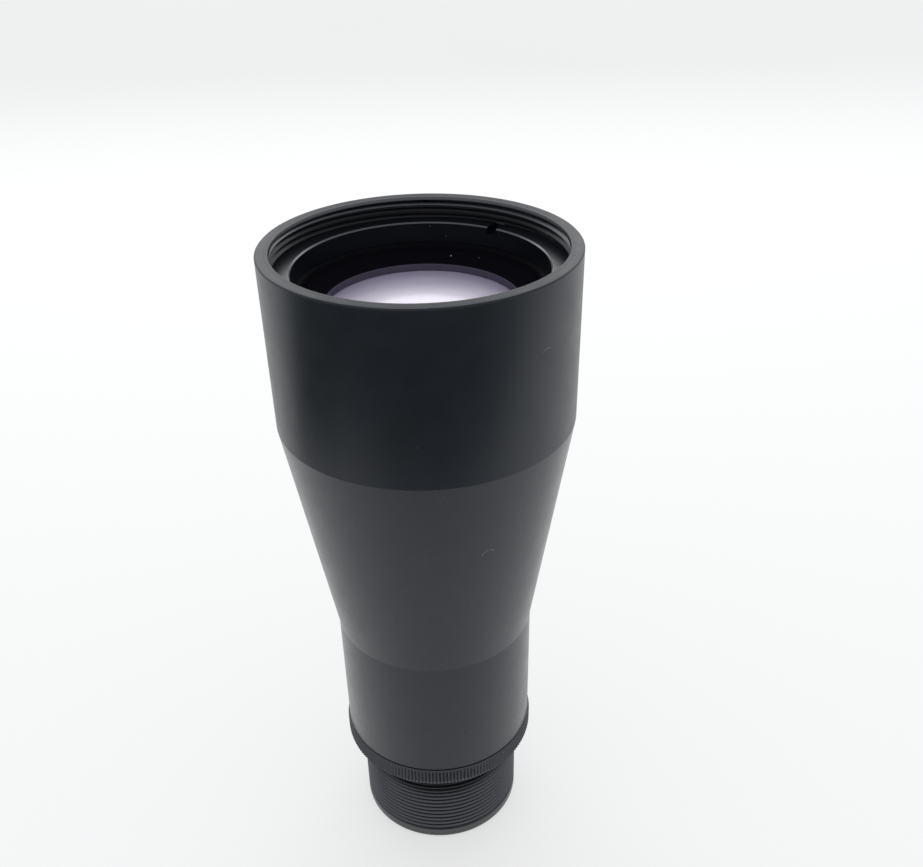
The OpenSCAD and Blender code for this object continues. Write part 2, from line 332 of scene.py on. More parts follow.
def turned(name, outline, segments=256):
    """A closed outline of radius and height, turned about the axis."""
    work = bmesh.new()
    rings = []
    for step in range(segments):
        angle = FULL_TURN * step / segments
        rings.append([
            work.verts.new((p.x * math.cos(angle), p.x * math.sin(angle), p.y)) for p in outline
        ])
    for step in range(segments):
        here, there = rings[step], rings[(step + 1) % segments]
        for i in range(len(outline)):
            j = (i + 1) % len(outline)
            work.faces.new((here[i], there[i], there[j], here[j]))
    mesh = bpy.data.meshes.new(name)
    work.to_mesh(mesh)
    work.free()
    return link(bpy.data.objects.new(name, tidied(mesh)))


def evaluated(obj):
    """The mesh that an object and its modifiers make."""
    graph = bpy.context.evaluated_depsgraph_get()
    return bpy.data.meshes.new_from_object(obj.evaluated_get(graph), depsgraph=graph)


def grown(name, tree, values):
    """What a geometry tree makes from these values, as a plain mesh."""
    host = link(bpy.data.objects.new(name, bpy.data.meshes.new(name)))
    modifier = host.modifiers.new(tree.name, "NODES")
    modifier.node_group = tree
    for item in tree.interface.items_tree:
        if item.in_out == "INPUT" and item.name in values:
            modifier[item.identifier] = values[item.name]
    mesh = evaluated(host)
    host.modifiers.remove(modifier)
    host.data = tidied(mesh)
    return host


def joined(name, pieces):
    """One object from several that belong to the same piece."""
    with bpy.context.temp_override(
        active_object=pieces[0], object=pieces[0], selected_objects=pieces, selected_editable_objects=pieces
    ):
        bpy.ops.object.join()
    pieces[0].name = name
    pieces[0].data.name = name
    return pieces[0]


def hair(skin, angle, height, curl, start, end, radius):
    """A thin curled fibre that lies on a surface of revolution. Its angles are in degrees."""
    curve = bpy.data.curves.new("Hair", "CURVE")
    curve.dimensions = "3D"
    curve.bevel_depth = radius
    curve.bevel_resolution = 2
    steps = 12
    spline = curve.splines.new("POLY")
    spline.points.add(steps)
    for i, point in enumerate(spline.points):
        bend = math.radians(start + (end - start) * i / steps)
        at = height + curl * math.sin(bend)
        # The fibre lies a little into the skin, so that no gap shows
        reach = skin(at) + radius * 0.6
        bearing = math.radians(angle) + curl * math.cos(bend) / reach
        point.co = (reach * math.cos(bearing), reach * math.sin(bearing), at, 1.0)
    made = link(bpy.data.objects.new("Hair", curve))
    mesh = evaluated(made)
    bpy.data.objects.remove(made)
    return link(bpy.data.objects.new("Hair", tidied(mesh)))


def speck(distance, angle, height, radius):
    """A grain of dust, at a distance from the axis and an angle in degrees."""
    bearing = math.radians(angle)
    work = bmesh.new()
    bmesh.ops.create_icosphere(work, subdivisions=2, radius=radius)
    middle = (distance * math.cos(bearing), distance * math.sin(bearing), height)
    bmesh.ops.translate(work, verts=work.verts, vec=middle)
    mesh = bpy.data.meshes.new("Speck")
    work.to_mesh(mesh)
    work.free()
    return link(bpy.data.objects.new("Speck", tidied(mesh)))


def sheet(name, corners, height, material):
    """A flat piece of the stage."""
    mesh = bpy.data.meshes.new(name)
    mesh.from_pydata([(x, y, height) for x, y in corners], [], [range(len(corners))])
    mesh.materials.append(material)
    link(bpy.data.objects.new(name, mesh))


# Geometry trees


def tree_with(name, lengths, whole_numbers=(), numbers=()):
    """An empty geometry tree with named inputs, and its input node's outputs."""
    tree = bpy.data.node_groups.new(name, "GeometryNodeTree")
    for label in lengths:
        tree.interface.new_socket(label, in_out="INPUT", socket_type="NodeSocketFloat").subtype = "DISTANCE"
    for label in numbers:
        tree.interface.new_socket(label, in_out="INPUT", socket_type="NodeSocketFloat")
    for label in whole_numbers:
        tree.interface.new_socket(label, in_out="INPUT", socket_type="NodeSocketInt")
    tree.interface.new_socket("Material", in_out="INPUT", socket_type="NodeSocketMaterial")
    tree.interface.new_socket("Geometry", in_out="OUTPUT", socket_type="NodeSocketGeometry")
    return tree, add(tree, "NodeGroupInput").outputs


def strip(tree, along, across):
    """A flat strip of points, with how far along it each lies from 0 to 1, and its place across from 0."""
    grid = add(tree, "GeometryNodeMeshGrid", {
        "Size X": 1.0, "Size Y": 1.0, "Vertices X": along, "Vertices Y": across,
    })
    place = add(tree, "ShaderNodeSeparateXYZ", [add(tree, "GeometryNodeInputPosition")]).outputs
    share, side = [add(tree, MATH, [place[axis], 0.5], operation="ADD") for axis in "XY"]
    scaled = add(tree, MATH, [side, across - 1], operation="MULTIPLY")
    return grid.outputs["Mesh"], share, add(tree, MATH, [scaled], operation="ROUND")


def at_place(tree, rank, values):
    """One of the values, by the point's place across the strip."""
    switch = add(tree, "GeometryNodeIndexSwitch", data_type="FLOAT")
    while len(switch.index_switch_items) < len(values):
        switch.index_switch_items.new()
    feed(tree, switch, [rank, *values])
    return switch


def wrapped(tree, mesh, radius, angle, height, material):
    """Ends a tree: puts the strip's points round the axis and gives the result its material."""
    parts = [add(tree, MATH, [angle], operation=name) for name in ("COSINE", "SINE")]
    across = [add(tree, MATH, [radius, part], operation="MULTIPLY") for part in parts]
    position = add(tree, "ShaderNodeCombineXYZ", [*across, height])
    bent = add(tree, "GeometryNodeSetPosition", {"Geometry": mesh, "Position": position})
    welded = add(tree, "GeometryNodeMergeByDistance", {"Geometry": bent, "Distance": WELD})
    whole = add(tree, "GeometryNodeRealizeInstances", {"Geometry": welded})
    dressed = add(tree, "GeometryNodeSetMaterial", {"Geometry": whole, "Material": material})
    add(tree, "NodeGroupOutput", {"Geometry": dressed})


def thread_tree():
    """One helical ridge, which rises out of its wall and sinks back into it.

    The strip's five points across are the foot, the two edges of the crest, the other foot and the
    first foot again. The crests drop to a second radius past a given height, and the faces at both
    ends of the wall cut the ridge off.
    """
    tree, given = tree_with(
        "Thread ridge",
        ["Pitch", "Root radius", "Crest radius", "Foot width", "Crest width", "Start height",
         "Entry radius", "Step height", "Step radius", "Cut height"],
        whole_numbers=["Points along"], numbers=["Turns", "Start angle", "Fade turns", "Crest slant"],
    )
    root = given["Root radius"]
    mesh, share, rank = strip(tree, given["Points along"], 5)
    turns = add(tree, MATH, [share, given["Turns"]], operation="MULTIPLY")
    left = add(tree, MATH, [given["Turns"], turns], operation="SUBTRACT")
    fades = [
        add(tree, RANGE, {"Value": run, "From Max": given["Fade turns"]}, interpolation_type="SMOOTHSTEP")
        for run in (turns, left)
    ]
    fade = add(tree, MATH, fades, operation="MULTIPLY")
    climb = add(tree, MATH, [turns, given["Pitch"]], operation="MULTIPLY")
    middle = add(tree, MATH, [given["Start height"], climb], operation="ADD")
    # The crests drop to the second radius over half a millimetre
    step_foot = add(tree, MATH, [given["Step height"], 0.5 * MM], operation="SUBTRACT")
    crest = add(tree, RANGE, [
        middle, step_foot, given["Step height"], given["Crest radius"], given["Step radius"],
    ])
    full_height = add(tree, MATH, [crest, root], operation="SUBTRACT")
    height = add(tree, MATH, [full_height, fade], operation="MULTIPLY")
    foot_half, crest_half = [
        add(tree, MATH, [given[width], 0.5], operation="MULTIPLY") for width in ("Foot width", "Crest width")
    ]
    foot_below, crest_below = [
        add(tree, MATH, [half, -1.0], operation="MULTIPLY") for half in (foot_half, crest_half)
    ]
    # Past the face, only the flank is left of the ridge, which sinks as 1 / tan 30 of the overshoot
    lower_edge = add(tree, MATH, [middle, crest_half], operation="SUBTRACT")
    overshoot = add(tree, MATH, [lower_edge, given["Cut height"]], operation="SUBTRACT")
    past_face = add(tree, MATH, [overshoot, 0.0], operation="MAXIMUM")
    sunk = add(tree, MATH, [past_face, 1 / math.tan(FLANK)], operation="MULTIPLY")
    size = add(tree, MATH, [height], operation="ABSOLUTE")
    left_over = add(tree, MATH, [size, sunk], operation="SUBTRACT")
    size_kept = add(tree, MATH, [left_over, 0.0], operation="MAXIMUM")
    side = add(tree, MATH, [height], operation="SIGN")
    kept = add(tree, MATH, [side, size_kept], operation="MULTIPLY")
    # The foot is sunk a little into the wall that carries the ridge
    burial = add(tree, MATH, [height, 0.08], operation="MULTIPLY")
    foot = add(tree, MATH, [root, burial], operation="SUBTRACT")
    # The crest leans back towards its upper edge, as a worn or polished crest does
    leant = add(tree, MATH, [1.0, given["Crest slant"]], operation="SUBTRACT")
    crests = [add(tree, MATH, [kept, part, root], operation="MULTIPLY_ADD") for part in (1.0, leant)]
    section = at_place(tree, rank, [foot, *crests, foot, foot])
    entry = add(tree, MATH, [given["Entry radius"], middle], operation="ADD")
    radius = add(tree, MATH, [section, entry], operation="MINIMUM")
    offset = at_place(tree, rank, [foot_below, crest_below, crest_half, foot_half, foot_below])
    faded = add(tree, MATH, [offset, fade], operation="MULTIPLY")
    free_height = add(tree, MATH, [middle, faded], operation="ADD")
    lift = add(tree, MATH, [free_height, given["Cut height"]], operation="MINIMUM")
    swept = add(tree, MATH, [turns, FULL_TURN], operation="MULTIPLY")
    angle = add(tree, MATH, [swept, given["Start angle"]], operation="ADD")
    wrapped(tree, mesh, radius, angle, lift, given["Material"])
    return tree


def knurl_tree():
    """A ring with a straight knurl, whose chamfers cut the teeth.

    The strip goes once round the ring's section: bore, lower face, two ends of the teeth, upper face,
    bore and back to the start.
    """
    tree, given = tree_with(
        "Knurled ring",
        ["Bore radius", "Tip radius", "Tooth depth", "Chamfer", "Foot", "Height"],
        whole_numbers=["Points along"], numbers=["Teeth"],
    )
    bore, tip, low = given["Bore radius"], given["Tip radius"], given["Foot"]
    mesh, share, rank = strip(tree, given["Points along"], 7)
    count = add(tree, MATH, [share, given["Teeth"]], operation="MULTIPLY")
    offset = add(tree, MATH, [count, 0.5], operation="ADD")
    phase = add(tree, MATH, [offset], operation="FRACT")
    wave = add(tree, MATH, [phase, 2.0, -1.0], operation="MULTIPLY_ADD")
    valley = add(tree, MATH, [wave], operation="ABSOLUTE")
    notch = add(tree, MATH, [valley, given["Tooth depth"]], operation="MULTIPLY")
    tooth = add(tree, MATH, [tip, notch], operation="SUBTRACT")
    face = add(tree, MATH, [tip, given["Chamfer"]], operation="SUBTRACT")
    radius = at_place(tree, rank, [bore, face, tooth, tooth, face, bore, bore])
    cut = add(tree, MATH, [tooth, face], operation="SUBTRACT")
    high = add(tree, MATH, [low, given["Height"]], operation="ADD")
    tooth_low = add(tree, MATH, [low, cut], operation="ADD")
    tooth_high = add(tree, MATH, [high, cut], operation="SUBTRACT")
    height = at_place(tree, rank, [low, low, tooth_low, tooth_high, high, high, low])
    angle = add(tree, MATH, [share, FULL_TURN], operation="MULTIPLY")
    wrapped(tree, mesh, radius, angle, height, given["Material"])
    return tree


# Materials


def new_material(name):
    """A new material with its tree and its shader, and the colours of the finishes."""
    material = bpy.data.materials.new(name)
    material.use_nodes = True
    tree = material.node_tree
    return material, tree, tree.nodes["Principled BSDF"], bpy.context.scene.expander_colours


def toned(tree, shader, share, first, second):
    """Colours a shader between two tones, by a share."""
    # The Mix node's inputs 6 and 7 are its two colours
    tone = add(tree, "ShaderNodeMix", {0: share, 6: first, 7: second}, data_type="RGBA")
    feed(tree, shader, {"Base Color": tone})
    return tone


def relief(tree, shader, pattern, height_mm):
    """Raises the surface by a pattern, up to a height in millimetres."""
    raised = add(tree, "ShaderNodeBump", {"Height": pattern, "Distance": height_mm * MM, "Strength": 1.0})
    feed(tree, shader, {"Normal": raised})


def patches(tree, size_mm, detail=2.0, roughness=0.5):
    """Uneven patches that measure about size_mm."""
    return add(tree, "ShaderNodeTexNoise", {
        "Vector": add(tree, "ShaderNodeTexCoord").outputs["Object"],
        "Scale": 1 / (size_mm * MM), "Detail": detail, "Roughness": roughness,
    })


def grain(tree, shader, height_mm):
    """Blasted or etched grain: near 0.05 mm, and drawn coarser so that it shows."""
    relief(tree, shader, patches(tree, 0.3, 3.0, 0.6), height_mm)


def face_grain(tree, shader, share, rotation=0.25):
    """Stretches a turned surface's reflection along its fine rings or across them, by a share."""
    feed(tree, shader, {
        "Anisotropic": share, "Anisotropic Rotation": rotation,
        "Tangent": add(tree, "ShaderNodeTangent", direction_type="RADIAL", axis="Z"),
    })


def place_on(tree):
    """The point's X, Y and Z on the piece."""
    return add(tree, "ShaderNodeSeparateXYZ", [add(tree, "ShaderNodeTexCoord").outputs["Object"]]).outputs


def by_height(tree, low, high, at_low, at_high):
    """A value that changes from one to another between two heights."""
    return add(tree, RANGE, [place_on(tree)["Z"], low, high, at_low, at_high])


def above(tree, height, under, over):
    """A value for the surface under a height, and another for the surface above it."""
    return by_height(tree, height - FINE, height, under, over)


def inside_of(tree, radius, inner, outer):
    """A value for the surface within a radius of the axis, and another for the surface outside it."""
    place = place_on(tree)
    squares = [add(tree, MATH, [place[axis], 2.0], operation="POWER") for axis in "XY"]
    total = add(tree, MATH, squares, operation="ADD")
    distance = add(tree, MATH, [total], operation="SQRT")
    return add(tree, RANGE, [distance, radius, radius + 5 * FINE, inner, outer])


def anodised_material(name, roughness, ior, coarse_z=None, faced_z=None):
    """Black anodised aluminium, fine turned and blasted: a soft satin sheen, pale at grazing angles.

    Above coarse_z the blasting is coarser and the dye cooler. Above faced_z it is left as the facing
    cut made it, which is duller.
    """
    material, tree, shader, colours = new_material(name)
    cool = add(tree, RANGE, [patches(tree, 14.0, 3.0), 0.35, 0.65, 0.0, 1.0])
    uneven = patches(tree, 2.5, 4.0, 0.6)
    rough = add(tree, RANGE, [uneven, 0.3, 0.7, roughness - 0.03, roughness + 0.03])
    level = 0.48
    if coarse_z:
        cool = add(tree, MATH, [cool, above(tree, coarse_z, 0.0, 0.7)], operation="ADD")
        rough = add(tree, MATH, [rough, above(tree, coarse_z, 0.0, 0.1)], operation="ADD")
    if faced_z:
        rough = add(tree, MATH, [rough, above(tree, faced_z, 0.0, 0.11)], operation="ADD")
        level = above(tree, faced_z, level, 0.27)
        face_grain(tree, shader, above(tree, faced_z, 0.0, 0.55))
    toned(tree, shader, cool, colours.black, colours.black_cool)
    feed(tree, shader, {
        "Roughness": rough, "Specular IOR Level": level, "Specular Tint": colours.sheen, "IOR": ior,
    })
    grain(tree, shader, 0.004)
    return material


def mounting_thread_material(crest_r, land_z, ring_z):
    """Black anodised aluminium as the threading tool left it: bright crests, and roots dulled by painted
    shade.

    Painted shade dulls its reflection just under the ring. The land at its foot has a paler colour, a
    painted reflection of the white floor.
    """
    material, tree, shader, colours = new_material("Thread-cut black anodised aluminium")
    # Painted reflection of the white floor: the land at the foot takes the paler foot colour
    brighter_band = by_height(tree, land_z, land_z + 0.1 * MM, 1.0, 0.0)
    toned(tree, shader, brighter_band, colours.cut, colours.foot)
    # Painted shade under the lock ring: the reflection fades out over the last few millimetres below it
    ring_shade_low, ring_shade_high = ring_z - 4.4 * MM, ring_z - 1.4 * MM
    painted_ring_shade = by_height(tree, ring_shade_low, ring_shade_high, 0.64, 0.06)
    # Painted shade in the thread's roots: they reflect half as much as the crests
    painted_root_shade = inside_of(tree, crest_r - 0.2 * MM, 0.5, 1.0)
    feed(tree, shader, {
        "Specular IOR Level": add(tree, MATH, [painted_ring_shade, painted_root_shade], operation="MULTIPLY"),
        "Specular Tint": colours.sheen, "Roughness": 0.21, "IOR": 1.7,
    })
    grain(tree, shader, 0.003)
    return material


def front_thread_material(face_z, land):
    """Black anodised aluminium as the threading tool left it in the mouth.

    Its uppermost crest reflects fully and the turns below it much less, and its cut ends are part of the
    dull rim.
    """
    material, tree, shader, colours = new_material("Screw-cut black anodised aluminium")
    on_face = by_height(tree, face_z - 3 * FINE, face_z - 2 * FINE, 0.0, 1.0)
    toned(tree, shader, on_face, colours.cut, colours.black)
    foot = face_z - land
    # The reflection is full on the uppermost crest and 0.22 on the turns deeper in the mouth
    brighter_band = by_height(tree, foot - 0.9 * MM, foot - 0.6 * MM, 0.22, 1.0)
    polished = by_height(tree, foot - 0.2 * MM, foot - 0.1 * MM, 0.0, 0.15)
    bright = add(tree, MATH, [brighter_band, polished], operation="ADD")
    dulled = add(tree, MATH, [on_face, 0.87], operation="MULTIPLY")
    feed(tree, shader, {
        "Specular IOR Level": add(tree, MATH, [bright, dulled], operation="SUBTRACT"),
        "Roughness": add(tree, MATH, [on_face, 0.08, 0.42], operation="MULTIPLY_ADD"),
        "Specular Tint": colours.sheen, "IOR": 1.54,
    })
    # The reflection is stretched one way on the crests and the other way on the face
    share = add(tree, MATH, [on_face, -0.2, 0.5], operation="MULTIPLY_ADD")
    face_grain(tree, shader, share, add(tree, MATH, [on_face, 0.25], operation="MULTIPLY"))
    return material


def ring_material(bore_r, bevel, top):
    """Black anodised aluminium, fine turned: a closer, darker finish than the blasted outside.

    The bore is left nearly matt, so that it swallows stray light. The bevel at its mouth is polished.
    """
    material, tree, shader, colours = new_material("Fine turned black anodised aluminium")
    toned(tree, shader, patches(tree, 3.0, 3.0), linear("#0c0c14"), linear("#0c1113"))
    foot = top - bevel - FINE
    mouth = by_height(tree, foot, foot + 2 * FINE, 0.0, 1.0)
    polished = add(tree, MATH, [inside_of(tree, bore_r + bevel, 0.75, 0.0), mouth], operation="MULTIPLY")
    level = add(tree, MATH, [inside_of(tree, bore_r, 0.14, 0.38), polished], operation="ADD")
    feed(tree, shader, {
        "Specular IOR Level": level, "Specular Tint": colours.sheen, "Roughness": 0.34, "IOR": 1.46,
    })
    # Turning marks are near 0.08 mm apart, and are drawn 0.25 mm apart so that they show
    marks = add(tree, "ShaderNodeTexWave", {
        "Vector": add(tree, "ShaderNodeTexCoord").outputs["Object"], "Scale": 0.314 / (0.25 * MM),
        "Distortion": 0.4, "Detail": 2.0,
    }, wave_type="RINGS", rings_direction="Z")
    relief(tree, shader, marks, 0.002)
    return material


def lens_ring_material(wall_r):
    """Matt black anodised aluminium, with a painted violet reflection of the glass on the wall round it."""
    material, tree, shader, colours = new_material("Matt black ring with a painted violet edge")
    # Painted reflection: the wall round the glass is coloured with the glass's violet light
    toned(tree, shader, inside_of(tree, wall_r, 1.0, 0.0), colours.inner, colours.painted_violet)
    feed(tree, shader, {"Roughness": 0.5, "Specular IOR Level": 0.0})
    grain(tree, shader, 0.004)
    return material


def inner_material():
    """Matt black anodised aluminium, left as turned inside: it swallows stray light."""
    material, tree, shader, colours = new_material("Matt black anodised aluminium")
    toned(tree, shader, patches(tree, 3.0, 3.0), colours.inner, linear("#121217"))
    feed(tree, shader, {"Roughness": 0.5, "Specular IOR Level": 0.06})
    grain(tree, shader, 0.006)
    return material


def glass_material(rear_z):
    """Crown glass with a quarter-wave coating: clear, with a violet reflection and a pale sheen."""
    material, tree, shader, colours = new_material("Coated crown glass")
    # Wipe haze, in patches near 3 mm
    haze = add(tree, RANGE, [patches(tree, 3.0), 0.3, 0.7, 0.1, 0.14])
    feed(tree, shader, {
        "Base Color": (1.0, 1.0, 1.0, 1.0), "Transmission Weight": 1.0, "IOR": 1.52, "Roughness": haze,
        "Specular Tint": colours.coating, "Coat Weight": 1.0, "Coat Roughness": 0.32, "Coat IOR": 2.0,
    })
    # The layers of the coating scatter a violet veil over the clear glass
    veil = add(tree, "ShaderNodeBsdfDiffuse", {"Color": colours.veil})
    veiled = add(tree, "ShaderNodeMixShader", [0.41, shader, veil])
    # Seen through the glass, the flat rear face reflects the room over the rim
    mirror = add(tree, "ShaderNodeBsdfAnisotropic", {"Color": colours.rear, "Roughness": 0.25})
    rear = by_height(tree, rear_z + FINE, rear_z + 2 * FINE, 0.9, 0.0)
    whole = add(tree, "ShaderNodeMixShader", [rear, veiled, mirror])
    feed(tree, tree.nodes["Material Output"], {"Surface": whole})
    return material


def lint_material():
    """Cotton fluff and dust: pale and matt against the black."""
    material, tree, shader, colours = new_material("Cotton fluff")
    toned(tree, shader, patches(tree, 0.2), colours.lint, linear("#8f9298"))
    feed(tree, shader, {"Roughness": 0.9})
    return material


def table_material():
    """Dark rubber mat in front of the card and to its left: out of view, it keeps the head dark."""
    material, tree, shader, colours = new_material("Dark rubber mat")
    toned(tree, shader, patches(tree, 2.0), colours.dark, linear("#232326"))
    feed(tree, shader, {"Roughness": 1.0, "Specular IOR Level": 0.0})
    return material


def floor_material():
    """Matt white card: it shows the soft shadow and nothing else."""
    material, tree, shader, colours = new_material("Matt white card")
    tone = toned(tree, shader, patches(tree, 400.0), colours.floor, linear("#f1f2f3"))
    feed(tree, shader, {"Roughness": 0.9, "Specular IOR Level": 0.0})
    # The camera sees part of the card's own colour whatever the light, so that the shadow stays pale
    seen = add(tree, "ShaderNodeLightPath").outputs["Is Camera Ray"]
    share = add(tree, MATH, [seen, bpy.context.scene.expander_stage.own_light], operation="MULTIPLY")
    own = add(tree, "ShaderNodeEmission", {"Color": tone})
    both = add(tree, "ShaderNodeMixShader", [share, shader, own])
    feed(tree, tree.nodes["Material Output"], {"Surface": both})
    return material


# Pieces


def foot_width(crest, depth):
    """Width of a thread's ridge at its foot, from its crest down both flanks."""
    return crest + 2 * depth * math.tan(FLANK)


def dress(obj, material, body, slot, *replaced):
    """Gives a finished piece its material and its body, and hides the imported nodes that it stands for."""
    obj.data.materials.clear()
    obj.data.materials.append(material)
    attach(obj, body)
    if replaced:
        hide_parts(*replaced)


class EXPANDER_OT_barrel(bpy.types.Operator):
    """Turns the barrel with its neck, cone, head and inner steps"""

    bl_idname = "expander.barrel"
    bl_label = "Barrel"

    def execute(self, context):
        size = context.scene.expander_barrel
        foot, top, head_r = foot_of("barrel"), top_of("barrel"), radius_of("barrel")
        thread_r = radius_of("front_retaining_ring") + size.gap
        thread_foot = foot_of("front_retaining_ring") - size.run_out
        cell_bore_r = radius_of("objective_cell") + size.gap
        shoulder_z = foot_of("objective_distance_ring")
        outline = points(
            (size.nut_r + size.entry_chamfer, foot), (size.neck_r - size.neck_chamfer, foot),
            (size.neck_r, foot + size.neck_chamfer), (size.neck_r, size.cone_z),
            (head_r, size.head_z), (head_r, top - size.rim_chamfer),
            (head_r - size.rim_chamfer, top), (thread_r, top), (thread_r, thread_foot),
            (cell_bore_r, thread_foot), (cell_bore_r, shoulder_z), (size.shoulder_r, shoulder_z),
            (size.foot_r, size.cone_z), (size.foot_r, size.pocket_top),
            (size.nut_r, size.pocket_top), (size.nut_r, foot + size.entry_chamfer),
        )
        barrel = turned("Barrel", eased(outline, EDGE))
        material = anodised_material(
            "Satin black anodised aluminium", 0.29, 1.54,
            coarse_z=size.head_z, faced_z=top - size.rim_chamfer,
        )
        dress(barrel, material, "barrel", "black_anodised", "barrel")
        return {"FINISHED"}


class EXPANDER_OT_front_thread(bpy.types.Operator):
    """Cuts the free turns of the front thread inside the mouth"""

    bl_idname = "expander.front_thread"
    bl_label = "Front thread"

    def execute(self, context):
        size = context.scene.expander_threads
        rim = top_of("barrel")
        face = rim - size.face_inset
        wall_r = radius_of("front_retaining_ring") + context.scene.expander_barrel.gap
        crest_r = wall_r - size.front_depth
        material = front_thread_material(rim, size.land)
        steps_to_a_turn = 192
        ridge = grown("Front_thread", thread_tree(), {
            "Pitch": size.pitch, "Root radius": wall_r, "Crest radius": crest_r,
            "Foot width": foot_width(size.front_crest, size.front_depth), "Crest width": size.front_crest,
            "Start height": rim - size.front_low, "Start angle": size.front_start,
            "Turns": size.front_turns, "Points along": int(size.front_turns * steps_to_a_turn) + 1,
            "Fade turns": size.front_fade, "Crest slant": size.front_slant, "Cut height": face,
            "Entry radius": FAR, "Step height": FAR, "Step radius": crest_r, "Material": material,
        })
        back_r, lip_r = wall_r + SUNK, wall_r - size.land_lip
        land = turned("Mouth_land", eased(points(
            (back_r, face - size.land - size.land_lip / 2), (lip_r, face - size.land),
            (lip_r + size.land_lean, face), (back_r, face),
        ), THIN_EDGE))
        dress(joined("Front_thread", [ridge, land]), material, "barrel", "black_anodised")
        return {"FINISHED"}


class EXPANDER_OT_lock_ring(bpy.types.Operator):
    """Makes the knurled lock ring"""

    bl_idname = "expander.lock_ring"
    bl_label = "Lock ring"

    def execute(self, context):
        size = context.scene.expander_threads
        low, high = foot_of("lock_ring"), top_of("lock_ring")
        material = anodised_material("Knurled black anodised aluminium", 0.32, 1.66)
        steps_to_a_tooth = 4
        ring = grown("Lock_ring", knurl_tree(), {
            "Bore radius": context.scene.expander_barrel.nut_r, "Tip radius": radius_of("lock_ring"),
            "Tooth depth": size.tooth, "Chamfer": size.ring_chamfer, "Foot": low, "Height": high - low,
            "Teeth": float(size.teeth), "Points along": size.teeth * steps_to_a_tooth + 1,
            "Material": material,
        })
        dress(ring, material, "lock_ring", "black_anodised", "lock_ring")
        return {"FINISHED"}


class EXPANDER_OT_input_tube(bpy.types.Operator):
    """Makes the input tube with its mounting thread"""

    bl_idname = "expander.input_tube"
    bl_label = "Input tube"

    def execute(self, context):
        threads, size = context.scene.expander_threads, context.scene.expander_tube
        top, crest_r = top_of("input_tube"), radius_of("input_tube")
        root_r, face_r = crest_r - threads.depth, crest_r - size.chamfer
        stop_r, stop_z = radius_of("glare_stop") + context.scene.expander_barrel.gap, foot_of("glare_stop")
        seat_z = top_of("input_distance_ring")
        outline = points(
            (size.bore_r + size.chamfer, 0.0), (face_r, 0.0), (crest_r, size.chamfer), (crest_r, size.land),
            (root_r, size.land + threads.depth / 2), (root_r, top - size.chamfer),
            (root_r - size.chamfer, top), (stop_r, top), (stop_r, stop_z), (size.beam_r, stop_z),
            (size.beam_r, seat_z), (size.bore_r, seat_z), (size.bore_r, size.chamfer),
        )
        tube = turned("Tube_body", eased(outline, EDGE))
        material = mounting_thread_material(crest_r, size.land, foot_of("lock_ring"))
        # The ridge starts 0.35 of a pitch above the land, and ends 1.45 pitches below the top
        turns = (top - size.land - 1.8 * threads.pitch) / threads.pitch
        steps_to_a_turn = 128
        ridge = grown("Tube_thread", thread_tree(), {
            "Pitch": threads.pitch, "Root radius": root_r, "Crest radius": crest_r,
            "Foot width": foot_width(threads.crest, threads.depth), "Crest width": threads.crest,
            "Start height": size.land + 0.35 * threads.pitch, "Start angle": threads.start,
            "Turns": turns, "Points along": int(turns * steps_to_a_turn) + 1, "Fade turns": threads.fade,
            "Crest slant": threads.slant, "Entry radius": face_r, "Step height": threads.free_top,
            "Step radius": crest_r - threads.run_drop, "Cut height": FAR, "Material": material,
        })
        dress(joined("Input_tube", [tube, ridge]), material, "input_tube", "black_anodised", "input_tube")
        return {"FINISHED"}


class EXPANDER_OT_front_lens(bpy.types.Operator):
    """Grinds the domed front lens"""

    bl_idname = "expander.front_lens"
    bl_label = "Front lens"

    def execute(self, context):
        size = context.scene.expander_glass
        node = "objective_front_lens"
        foot, apex, edge_r = foot_of(node), top_of(node), radius_of(node)
        rim_r = edge_r - size.rim_chamfer
        steps = 32
        tilts = [math.asin(rim_r / size.dome) * step / steps for step in range(steps + 1)]
        dome = [(size.dome * math.sin(tilt), apex - size.dome * (1 - math.cos(tilt))) for tilt in tilts]
        rim_z = dome[-1][1]
        outline = points(
            *dome, (edge_r, rim_z - size.rim_chamfer), (edge_r, foot + size.rim_chamfer),
            (rim_r, foot), (0.0, foot),
        )
        lens = turned("Front_lens", outline, segments=192)
        dress(lens, glass_material(foot), "objective_lenses", "coated_glass", node)
        return {"FINISHED"}


class EXPANDER_OT_lint(bpy.types.Operator):
    """Lays the fine hairs and specks of dust that lie on the barrel and its front rings"""

    bl_idname = "expander.lint"
    bl_label = "Lint"

    def execute(self, context):
        size, barrel = context.scene.expander_lint, context.scene.expander_barrel
        head_r = radius_of("barrel")

        def skin(height):
            """Outer radius of the barrel at a height on its cone or head."""
            share = min(max((height - barrel.cone_z) / (barrel.head_z - barrel.cone_z), 0.0), 1.0)
            return barrel.neck_r + (head_r - barrel.neck_r) * share

        # Angle round the barrel, height in mm, and the angles at which the curl starts and ends
        hairs = [(-67, 53.62, 180, 25), (-45.6, 76.97, 150, 35)]
        bore_r, skin_r = radius_of("front_retaining_ring") - 2.4 * MM, head_r - 0.04 * MM
        # Distance from the axis, angle, height in mm, and size beside the largest grain
        specks = [
            (12.2 * MM, 72.6, 78.64, 1.0), (12.44 * MM, 56.2, 78.76, 0.4), (bore_r, 84.8, 81.58, 0.4),
            (bore_r, 77.0, 80.39, 0.4), (skin_r, -93.4, 69.65, 0.5),
        ]
        dust = []
        for angle, z, start, end in hairs:
            dust.append(hair(skin, angle, z * MM, size.curl, start, end, size.hair_r))
        for distance, angle, z, share in specks:
            dust.append(speck(distance, angle, z * MM, size.speck_r * share))
        dress(joined("Lint", dust), lint_material(), "barrel", "black_anodised")
        return {"FINISHED"}


